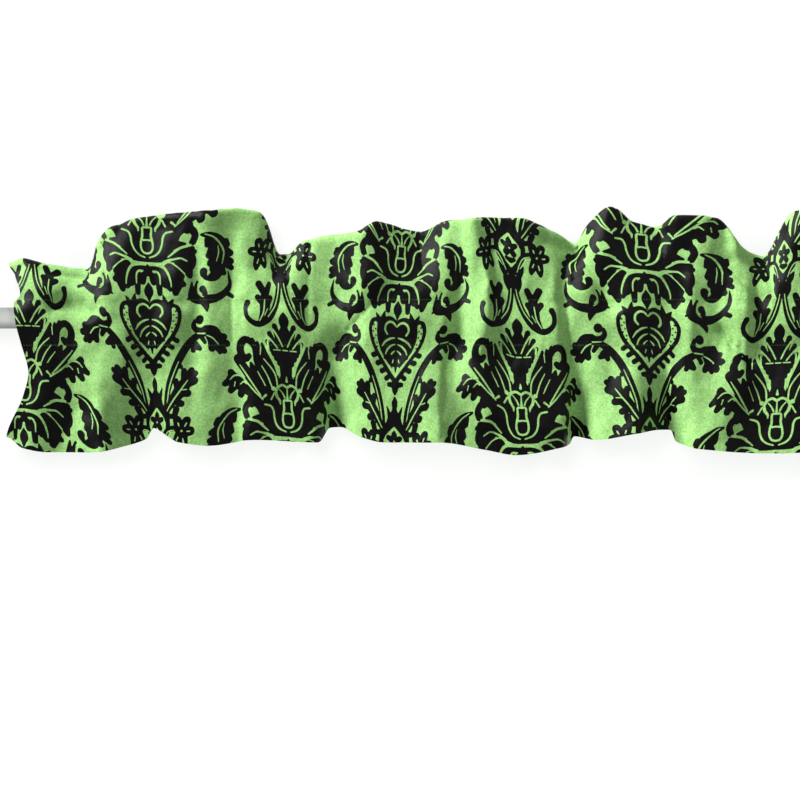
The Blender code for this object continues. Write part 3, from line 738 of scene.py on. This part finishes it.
def followed(points, edges):
    # an outline's edge gets a middle point where the cloth bends away from it by more than the slack
    for _ in range(printPlace["bendTurns"]):
        middle = points[edges].mean(axis=1)
        ends = sample(sheetPoints, *gridPlace(points))[edges].mean(axis=1)
        gap = np.linalg.norm(sample(sheetPoints, *gridPlace(middle)) - ends, axis=1)
        bent = gap > printPlace["bendSlack"]
        added = len(points) + np.arange(bent.sum())
        points = np.vstack([points, middle[bent]])
        halves = [np.stack([edges[bent, 0], added], axis=1), np.stack([added, edges[bent, 1]], axis=1)]
        edges = np.vstack([edges[~bent], *halves])
    return points, edges


printAcross, printUp = printGrid()
inkField, linePoints, lineEdges = printLines()
linePoints, lineEdges = followed(*clipped(linePoints, lineEdges))
print("print outlines", len(linePoints), "points")

meshing = {
    "front": (4.6, 0.32),  # most reach and most turn between two rows
    "behind": (8, 0.35),
    "bendQuantile": 0.8,
    "frontColumns": 2,
    "behindColumns": 3,
    "behindMargin": 6,
    "clear": 0.9,  # no loose point is nearer than this to an outline
    "cell": 1.5,  # in that distance
    "weld": 1e-5,
    "backOff": 1.4,  # in half thicknesses
    "roomShare": 1.25,
    "mostRoom": (3, 2.2),  # on the skirt's lower part, and above it
    "lowerShare": 0.66,
}


def latticeRows(reach, turn):
    # grid rows that are at most reach apart, and closer where the cloth turns sharply
    step = np.diff(sheetPoints, axis=1)
    bend = np.arccos(np.clip((unit(step)[:, 1:] * unit(step)[:, :-1]).sum(axis=-1), -1, 1))
    spent = np.linalg.norm(step, axis=-1).mean(axis=0) / reach
    spent[1:] += np.quantile(bend, meshing["bendQuantile"], axis=0) / turn
    total = np.cumsum(spent)
    marks = np.linspace(0, total[-1], math.ceil(total[-1]) + 1)[1:-1]
    return np.unique(np.searchsorted(total, marks) + 1)


def crossed(columns, rows):
    return np.stack(np.meshgrid(columns, rows), axis=-1).reshape(-1, 2)


def nearest(points, spots, room):
    # which of the spots lie nearer than room to an outline's corner, by a coarse grid of cells
    cells = set()
    for shift in crossed((-room, 0, room), (-room, 0, room)):
        cells.update(map(tuple, np.floor((points + shift) / room / meshing["cell"]).astype(int)))
    return np.array([tuple(cell) in cells for cell in np.floor(spots / room / meshing["cell"]).astype(int)])


def edgeWalk():
    # the grid places round the cloth's edge, anticlockwise from the hem's left end
    right, top = printUp.shape[0] - 1, printUp.shape[1] - 1
    up, down = range(0, top, 2), range(top, 0, -2)
    ahead = [(c, 0) for c in range(right)] + [(right, r) for r in up]
    return np.array(ahead + [(c, top) for c in range(right, 0, -1)] + [(0, r) for r in down])


def triangulated(rim, fixed, lines, loose):
    # flat triangles inside the rim, anticlockwise, over all points and along the lines, with each corner's
    # number in the given points, or -1 where two lines cross
    spots = [Vector(spot) for spot in np.vstack([rim, fixed, loose])]
    found = delaunay_2d_cdt(spots, lines.tolist(), [list(range(len(rim)))], 0, meshing["weld"], True)
    flat = np.array([tuple(spot) for spot in found[0]])
    triangles = np.array([face for face, origin in zip(found[2], found[5]) if origin])
    given = np.array([min(origin) if origin else -1 for origin in found[3]])
    corners = flat[triangles]
    side, other = corners[:, 1] - corners[:, 0], corners[:, 2] - corners[:, 0]
    turned = side[:, 0] * other[:, 1] < side[:, 1] * other[:, 0]
    triangles[turned] = triangles[turned][:, ::-1]
    return flat, triangles, given


def inkAt(spots):
    # 1 where the print is inked: the field at the point folded back into one strip and one repeat
    across, down = spots[:, 0] % (2 * damask["across"]), -spots[:, 1] % damask["down"]
    across = np.minimum(across, 2 * damask["across"] - across)
    return sample(inkField, down / damask["grain"], across / damask["grain"]) > 0


def onPrint(places):
    return np.stack([sample(table, *places.T) for table in (printAcross, printUp)], axis=1)


def frontMesh():
    # the outer face: its corners on the print, its triangles, its corners on the grid and its inked triangles
    walk, last = edgeWalk(), printUp.shape[0] - 1
    rows, columns = latticeRows(*meshing["front"]), np.arange(2, last, meshing["frontColumns"])
    lattice = crossed(columns, rows)
    lattice[:, 0] += np.isin(lattice[:, 1], rows[::2])
    lattice = lattice[lattice[:, 0] < last]
    lattice = lattice[~nearest(linePoints, onPrint(lattice), meshing["clear"])]
    flat, faces, given = triangulated(onPrint(walk), linePoints, lineEdges + len(walk), onPrint(lattice))
    places = np.vstack([walk, np.stack(gridPlace(linePoints), axis=1), lattice])[given]
    places[given < 0] = np.stack(gridPlace(flat[given < 0]), axis=1)
    print("outer face", len(faces), "triangles")
    return flat, faces, np.clip(places, 0, np.array(printUp.shape) - 1), inkAt(flat[faces].mean(axis=1))


def borderOf(faces):
    # directed edges that only one triangle has
    edges = np.vstack([faces[:, [0, 1]], faces[:, [1, 2]], faces[:, [2, 0]]])
    _, which, counts = np.unique(np.sort(edges, axis=1), axis=0, return_index=True, return_counts=True)
    return edges[which[counts == 1]]


def reverseMesh(flat, border):
    # the plain inner face: the same edge points in the same order, and a coarser lattice
    after = dict(border.tolist())
    ring = [int(border[0, 0])]
    while after[ring[-1]] != ring[0]:
        ring.append(after[ring[-1]])
    step, margin = meshing["behindColumns"], meshing["behindMargin"]
    rows, columns = latticeRows(*meshing["behind"]), np.arange(step, printUp.shape[0] + 1 - step, step)
    rows = rows[(rows >= margin) & (rows < printUp.shape[1] - margin)]
    lattice, none = crossed(columns, rows), np.empty((0, 2), int)
    _, faces, given = triangulated(flat[ring], none, none, onPrint(lattice))
    return np.array(ring), lattice, faces, given, reverseRoom(columns, rows)


def reverseRoom(columns, rows):
    # how far the reverse's flat triangles would stand in front of the curved sheet round each of their corners:
    # the largest part along the normal of (surface between the four corners - sheet) over the cells beside it
    c, r = np.mgrid[columns[0] : columns[-1] + 1, rows[0] : rows[-1] + 1]
    pairs = ((c, columns), (r, rows))
    spans = (np.interp(place, marks, np.arange(len(marks))).ravel() for place, marks in pairs)
    between = sample(sheetPoints[np.ix_(columns, rows)], *spans).reshape(*c.shape, 3)
    over = ((between - sheetPoints[c, r]) * sheetNormals[c, r]).sum(axis=-1)
    for axis, (_, marks) in enumerate(pairs):
        over = np.maximum.reduceat(over, marks[:-1] - marks[0], axis=axis)
    over = np.pad(over, 1, mode="edge")
    return np.maximum.reduce([over[:-1, :-1], over[1:, :-1], over[:-1, 1:], over[1:, 1:]]).clip(0)


bakeSheet = {
    "side": 1000,
    "size": (1372, 479),
    "half": 686,
    "start": (8, 5),
    "secondHalf": (-686, 488),  # how far it moves
    "rim": 2.5,
    "behind": (716, 6),
    "behindScale": (0.57, 0.71),
}


def bakePlaces(columns, rows, kinds, triangles):
    # where each corner lies on one square sheet, in mm: the printed face as two halves, one above the other,
    # the reverse turned and made smaller beside them, and the rim as a narrow band round the printed face
    twin = (kinds == 2)[:, None] & (triangles >= triangles[kinds == 1].min())
    spread, beyond = [], []
    grids = (printAcross.mean(axis=1), printUp.mean(axis=0))
    for place, marks, size in zip((columns, rows), grids, bakeSheet["size"]):
        share = np.interp(place, np.arange(len(marks)), (marks - marks[0]) / (marks[-1] - marks[0]))
        spread.append((share * size)[triangles])
        outward = np.where(place > len(marks) - 1.5, 1, np.where(place < 0.5, -1, 0))
        beyond.append(twin * (outward[triangles] * bakeSheet["rim"]))
    second = spread[0].mean(axis=1, keepdims=True) > bakeSheet["half"]
    placed = []
    for k in (0, 1):
        front = bakeSheet["start"][k] + spread[k] + bakeSheet["secondHalf"][k] * second + beyond[k]
        behind = bakeSheet["behind"][k] + bakeSheet["behindScale"][k] * spread[1 - k]
        placed.append(np.where((kinds == 1)[:, None], behind, front))
    return np.stack(placed, axis=-1) / bakeSheet["side"]


def addPiece(name, meshName, points, faces):
    # a smooth-shaded object in the scene, from points in millimetres
    mesh = bpy.data.meshes.new(meshName)
    mesh.from_pydata((np.array(points) * mm).tolist(), [], faces)
    mesh.shade_smooth()
    piece = bpy.data.objects.new(name, mesh)
    bpy.context.scene.collection.objects.link(piece)
    return piece


def buildCloth():
    # both faces on the grid, the reverse moved back, and a rim that joins each edge point to its twin behind
    flat, faces, places, ink = frontMesh()
    border = borderOf(faces)
    ring, lattice, facesBack, given, room = reverseMesh(flat, border)
    places = np.vstack([places, np.vstack([places[ring], lattice])[given]])
    half = cloth["thickness"] / 2
    most = np.where(lattice[:, 1] < cloth["rowCounts"][0] * meshing["lowerShare"], *meshing["mostRoom"])
    room = np.minimum(room.T.ravel() * meshing["roomShare"], most)
    back = half * meshing["backOff"] + np.concatenate([np.zeros(len(ring)), room])[given]
    offset = np.concatenate([np.full(len(flat), half), -back])[:, None]
    twin = np.full(len(flat), -1)
    onRing = given < len(ring)
    twin[ring[given[onRing]]] = np.flatnonzero(onRing) + len(flat)
    a, b = border.T
    rimFaces = np.vstack([np.stack([b, a, twin[a]], axis=1), np.stack([b, twin[a], twin[b]], axis=1)])
    triangles = np.vstack([faces, facesBack[:, ::-1] + len(flat), rimFaces])
    kinds = np.repeat([0, 1, 2], [len(faces), len(facesBack), len(rimFaces)])
    used, triangles = np.unique(triangles, return_inverse=True)
    triangles, places, offset = triangles.reshape(-1, 3), places[used], offset[used]
    normals = unit(sample(sheetNormals, *places.T))
    points = sample(sheetPoints, *places.T) + normals * offset
    corners = points[triangles]
    faceNormals = unit(np.cross(corners[:, 1] - corners[:, 0], corners[:, 2] - corners[:, 0]))
    rounded = (normals * np.sign(offset))[triangles]
    cornerNormals = np.where((kinds == 2)[:, None, None], faceNormals[:, None], rounded)
    piece = addPiece("cloth", "clothFace", points, triangles.tolist())
    mesh = piece.data
    mesh.normals_split_custom_set(cornerNormals.reshape(-1, 3).tolist())
    for name, values in (("ink", np.pad(ink, (0, len(kinds) - len(ink)))), ("reverse", kinds > 0)):
        mesh.attributes.new(name, "FLOAT", "FACE").data.foreach_set("value", values.astype(np.float32))
    weave = (onPrint(places) * printPlace["unit"] * mm)[triangles]
    for name, spots in (("weave", weave), ("OFBake", bakePlaces(*places.T, kinds, triangles))):
        mesh.uv_layers.new(name=name).data.foreach_set("uv", spots.reshape(-1).astype(np.float32))
    mesh.uv_layers.active = mesh.uv_layers["weave"]
    print("cloth mesh", len(triangles), "triangles")
    return piece


valance = buildCloth()
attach(valance, "root")
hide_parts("valance")

rodSize = {
    "radius": 12.7, "length": 1370, "bevel": 0.8, "bevelSteps": 5, "around": 96, "sections": 33, "inset": 40,
    "sharp": 50,
}


def wrapRound(rings, around):
    # quads between neighbouring rings of points, with around points in each ring
    first = np.arange(rings - 1)[:, None] * around
    a, b = first + np.arange(around), first + np.roll(np.arange(around), -1)
    return np.stack([a, b, b + around, a + around], axis=-1).reshape(-1, 4)


def lathe(profile, around):
    # x along the axis and radius from the profile, turned about the x axis: y = r cos a, z = r sin a
    angle = np.linspace(0, 2 * math.pi, around, endpoint=False)
    along, radius = np.array(profile, float).T
    y, z = radius[:, None] * np.cos(angle), radius[:, None] * np.sin(angle)
    points = np.stack([np.broadcast_to(along[:, None], y.shape), y, z], axis=-1).reshape(-1, 3)
    caps = [list(range(around))[::-1], list(range(len(points) - around, len(points)))]
    return points, wrapRound(len(along), around).tolist() + caps


def buildRod():
    r, end, bevel, inset = (rodSize[name] for name in ("radius", "length", "bevel", "inset"))
    turn = np.linspace(0, math.pi / 2, rodSize["bevelSteps"])
    left = [(bevel * (1 - math.cos(t)), r - bevel * (1 - math.sin(t))) for t in turn]
    right = [(end - place, radius) for place, radius in left[::-1]]
    middle = [(place, r) for place in np.linspace(inset, end - inset, rodSize["sections"])]
    piece = addPiece("paintedRod", "rodBody", *lathe(left + middle + right, rodSize["around"]))
    piece.data.set_sharp_from_angle(angle=math.radians(rodSize["sharp"]))
    return piece


stitch = {
    "pitch": 3.2, "length": 2.5, "thread": 0.42, "taper": 0.6, "rise": 0.05, "sunk": 0.14, "rings": (0, 0.5, 1),
    "ends": (2, 4),
}


def seamLine(seam, behind):
    # the stitches' places along a seam: points and normals of the front or of the folded-back part
    crest = sum(cloth["rowCounts"][:2])
    part = slice(None, crest - 1, -1) if behind else slice(0, crest)
    points, normals = sheetPoints[:, part], sheetNormals[:, part]
    rows = np.array([np.interp(seam, line[:, 2], np.arange(len(line))) for line in points])
    places = np.arange(len(points), dtype=float)
    line, normal = sample(points, places, rows), unit(sample(normals, places, rows))
    run = np.concatenate([[0], np.cumsum(np.linalg.norm(np.diff(line, axis=0), axis=1))])
    first, spare = stitch["ends"]
    starts = np.arange(first, run[-1] - spare, stitch["pitch"])
    along = starts[:, None] + stitch["length"] * np.array(stitch["rings"])
    return [np.stack([np.interp(along, run, part) for part in table.T], axis=-1) for table in (line, normal)]


def buildStitches():
    # each stitch is a short four-sided thread whose middle stands proud and whose ends sink into the cloth
    rings, sides = len(stitch["rings"]), 4
    turn = np.arange(sides)[:, None] * math.pi / 2 + math.pi / 4
    bow = np.sin(np.pi * np.array(stitch["rings"]))[:, None]
    lift = cloth["thickness"] / 2 - stitch["sunk"] + (stitch["rise"] + stitch["sunk"]) * bow
    girth = (stitch["thread"] / 2 * (stitch["taper"] + (1 - stitch["taper"]) * bow))[..., None]
    points = []
    for seam in (cloth["lowerSeam"], cloth["upperSeam"]):
        for behind in (False, True):
            line, normal = seamLine(seam, behind)
            normal = unit(normal)
            across = unit(np.cross(normal, unit(line[:, 2:] - line[:, :1])))[:, :, None]
            core, normal = (line + normal * lift)[:, :, None], normal[:, :, None]
            points.append(core + girth * (np.cos(turn) * normal + np.sin(turn) * across))
    points = np.concatenate(points).reshape(-1, 3)
    shell = np.vstack([wrapRound(rings, sides), [[3, 2, 1, 0], [8, 9, 10, 11]]])
    faces = np.arange(0, len(points), rings * sides)[:, None, None] + shell
    return addPiece("stitches", "seamThread", points, faces.reshape(-1, 4).tolist())


stitches = buildStitches()
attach(stitches, "root")
print("seams stitched", len(stitches.data.polygons), "faces")

rod = buildRod()
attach(rod, "root")
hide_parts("rod")
print("rod built")


def newMaterial(name):
    made = bpy.data.materials.new(name)
    made.use_nodes = True
    return made, made.node_tree, made.node_tree.nodes["Principled BSDF"]


def join(tree, node, inputs):
    # links or sets each input, by its name or number
    for key, value in inputs.items():
        if isinstance(value, bpy.types.NodeSocket):
            tree.links.new(value, node.inputs[key])
        else:
            node.inputs[key].default_value = value


def addNode(tree, kind, output, inputs=None, **settings):
    node = tree.nodes.new("ShaderNode" + kind)
    for name, value in settings.items():
        setattr(node, name, value)
    join(tree, node, inputs or {})
    return node.outputs[output]


def mixColors(tree, factor, first, second):
    return addNode(tree, "Mix", 2, {0: factor, 6: first, 7: second}, data_type="RGBA")


def timesPlus(tree, value, times, more):
    return addNode(tree, "Math", 0, {0: value, 1: times, 2: more}, operation="MULTIPLY_ADD")


def ramp(tree, value, start=(0, 1), end=(0, 1)):
    # value from the start's two ends to the end's two ends
    names = ("Value", "From Min", "From Max", "To Min", "To Max")
    return addNode(tree, "MapRange", 0, dict(zip(names, (value, *start, *end))))


clothLook = {
    "lime": (0.238, 0.465, 0.14, 1),
    "limeShare": 0.18,
    "limes": ((0.168, 0.355, 0.094, 1), (0.315, 0.575, 0.2, 1)),
    "inks": ((0.0005, 0.0004, 0.0004, 1), (0.0056, 0.005, 0.0047, 1)),
    "backs": ((0.33, 0.585, 0.262, 1), (0.39, 0.655, 0.318, 1)),
    "grain": {"Scale": 380, "Detail": 3, "Roughness": 0.65},
    "patch": {"Scale": 130, "Detail": 2},
    "speckle": {"Scale": 900, "Detail": 1},
    "weave": {"Scale": 350},
    "patchShare": 0.4,
    "spread": (0.5, 0.9),
    "worn": (0.54, 0.78),
    "roughness": (0.66, 0.26),  # bare, inked
    "unevenness": 0.2,
    "grainRelief": 2,
    "relief": {"Strength": 0.35, "Distance": 0.00025},
    "level": 0.12,
}


def clothMaterial():
    look = clothLook
    made, tree, shader = newMaterial("printedCotton")
    flat = addNode(tree, "UVMap", "UV", uv_map="weave")
    ink, reverse = (addNode(tree, "Attribute", "Fac", attribute_name=name) for name in ("ink", "reverse"))
    grain, patch, speckle = (
        addNode(tree, "TexNoise", "Fac", {"Vector": flat, **look[name]}, noise_dimensions="2D")
        for name in ("grain", "patch", "speckle")
    )
    spread = ramp(tree, timesPlus(tree, patch, look["patchShare"], grain), look["spread"])
    green = mixColors(tree, look["limeShare"], mixColors(tree, spread, *look["limes"]), look["lime"])
    black = mixColors(tree, ramp(tree, speckle, look["worn"]), *look["inks"])
    plain = mixColors(tree, spread, *look["backs"])
    rough = ramp(tree, ink, end=look["roughness"])
    warp, weft = (
        addNode(tree, "TexWave", "Fac", {"Vector": flat, **look["weave"]}, bands_direction=axis)
        for axis in ("X", "Y")
    )
    threads = addNode(tree, "Math", 0, {0: warp, 1: weft}, operation="ADD")
    height = timesPlus(tree, grain, look["grainRelief"], threads)
    join(tree, shader, {
        "Base Color": mixColors(tree, reverse, mixColors(tree, ink, green, black), plain),
        "Roughness": timesPlus(tree, speckle, look["unevenness"], rough),
        "Normal": addNode(tree, "Bump", "Normal", {"Height": height, **look["relief"]}),
        "Specular IOR Level": look["level"],
    })
    return made


rodLook = {
    "haze": {"Scale": 45, "Detail": 3},
    "tones": ((0.62, 0.62, 0.615, 1), (0.68, 0.68, 0.675, 1)),
    "under": (-0.004, -0.0127),  # painted shade on the underside: from this height down to this one it darkens to the next tone
    "underShadeTone": (0.3, 0.3, 0.3, 1),
    "peel": {"Scale": 900, "Detail": 1},
    "relief": {"Strength": 0.12, "Distance": 0.0001},
    "surface": {"Roughness": 0.5, "Specular IOR Level": 0.15},
}
threadLook = {
    "haze": {"Scale": 1800, "Detail": 1},
    "tones": ((0.07, 0.15, 0.045, 1), (0.12, 0.26, 0.075, 1)),
    "peel": {"Scale": 1800, "Detail": 1},
    "relief": {"Strength": 0.3, "Distance": 0.0001},
    "surface": {"Roughness": 0.7, "Specular IOR Level": 0.2},
}


def hazyMaterial(name, look):
    # two tones mixed by noise in the piece's own space, and a fine relief; where the look gives it, painted
    # shade darkens the underside
    made, tree, shader = newMaterial(name)
    place = addNode(tree, "TexCoord", "Object")
    haze, peel = (addNode(tree, "TexNoise", "Fac", {"Vector": place, **look[key]}) for key in ("haze", "peel"))
    tone = mixColors(tree, haze, *look["tones"])
    # painted shade: the colour grows darker towards the underside, by height in the piece's own space
    if "under" in look:
        height = addNode(tree, "SeparateXYZ", "Z", {"Vector": place})
        tone = mixColors(tree, ramp(tree, height, look["under"]), tone, look["underShadeTone"])
    bump = addNode(tree, "Bump", "Normal", {"Height": peel, **look["relief"]})
    join(tree, shader, {"Base Color": tone, "Normal": bump, **look["surface"]})
    return made


valance.data.materials.append(clothMaterial())
stitches.data.materials.append(hazyMaterial("limeThread", threadLook))
rod.data.materials.append(hazyMaterial("satinPaint", rodLook))
print("materials done")

stage = {
    "pixel": 0.0012,
    "middle": 400,
    "rodRow": 318,
    "rodLeft": -50,
    "lens": 120,
    "sensor": 36,
    "wall": {"corners": ((-3, 0.05, -0.75), (4.2, 0.05, -0.75), (4.2, 0.05, 3), (-3, 0.05, 3)),
             "tone": 0.27, "glow": 0.8},
    "floor": {"corners": ((-6, -8, -0.75), (7, -8, -0.75), (7, 8, -0.75), (-6, 8, -0.75)),
              "tone": 0.3, "glow": 0.28},
    "lamps": (
        ("key", "SUN", (-5.6, -2.34, 4.84), {"angle": math.radians(20), "energy": 8.4}),
        ("fill", "AREA", (1.9, -2.6, 1.3), {"size": 0.7, "energy": 26}),
        ("front", "AREA", (-0.6, -3.0, 0.7), {"size": 1.2, "energy": 50}),  # for the wall and the rod alone
    ),
    "sky": 0.1,
}


def addToScene(name, data, place):
    made = bpy.data.objects.new(name, data)
    made.location = place
    bpy.context.scene.collection.objects.link(made)
    return made


def buildStage():
    scene, pixel, middle = bpy.context.scene, stage["pixel"], stage["middle"]
    centre = Vector(((middle - stage["rodLeft"]) * pixel, 0, 0))
    away, height = 2 * middle * pixel * stage["lens"] / stage["sensor"], (stage["rodRow"] - middle) * pixel
    camera = addToScene("camera", bpy.data.cameras.new("camera"), centre + Vector((0, -away, height)))
    camera.data.lens = stage["lens"]
    camera.rotation_euler = (math.pi / 2, 0, 0)
    scene.camera = camera
    unlit, frontLit = bpy.data.collections.new("unlitByKey"), bpy.data.collections.new("litByFront")
    backdrop = []
    for name in ("wall", "floor"):
        mesh = bpy.data.meshes.new(name)
        mesh.from_pydata(stage[name]["corners"], [], [(0, 1, 2, 3)])
        piece = addToScene(name, mesh, (0, 0, 0))
        backdrop.append(piece)
        made, tree, shader = newMaterial(name + "White")
        mesh.materials.append(made)
        join(tree, shader, {
            "Base Color": (*[stage[name]["tone"]] * 3, 1), "Roughness": 0.9, "Specular IOR Level": 0,
            "Emission Color": (1, 1, 1, 1), "Emission Strength": stage[name]["glow"],
        })
        if name == "wall":  # nothing shows of it from behind
            glass, behind = addNode(tree, "BsdfTransparent", 0), addNode(tree, "NewGeometry", "Backfacing")
            blend = addNode(tree, "MixShader", 0, {0: behind, 1: shader.outputs[0], 2: glass})
            join(tree, tree.nodes["Material Output"], {"Surface": blend})
    for piece in (rod, *backdrop):
        unlit.objects.link(piece)
        frontLit.objects.link(piece)
    for entry in unlit.collection_objects:
        entry.light_linking.link_state = "EXCLUDE"
    receivers = {"key": unlit, "front": frontLit}  # the key rakes across the cloth and leaves the backdrop pale
    for name, kind, place, settings in stage["lamps"]:
        holder = addToScene(name, bpy.data.lights.new(name, kind), Vector(place) + centre)
        for key, value in settings.items():
            setattr(holder.data, key, value)
        holder.rotation_euler = (centre - holder.location).to_track_quat("-Z", "Y").to_euler()
        if name in receivers:
            holder.light_linking.receiver_collection = receivers[name]
    scene.world = bpy.data.worlds.new("softSky")
    scene.world.use_nodes = True
    sky = scene.world.node_tree
    join(sky, sky.nodes["Background"], {"Color": (1, 1, 1, 1), "Strength": stage["sky"]})
    scene.view_settings.view_transform = "Standard"


buildStage()
print("stage set")
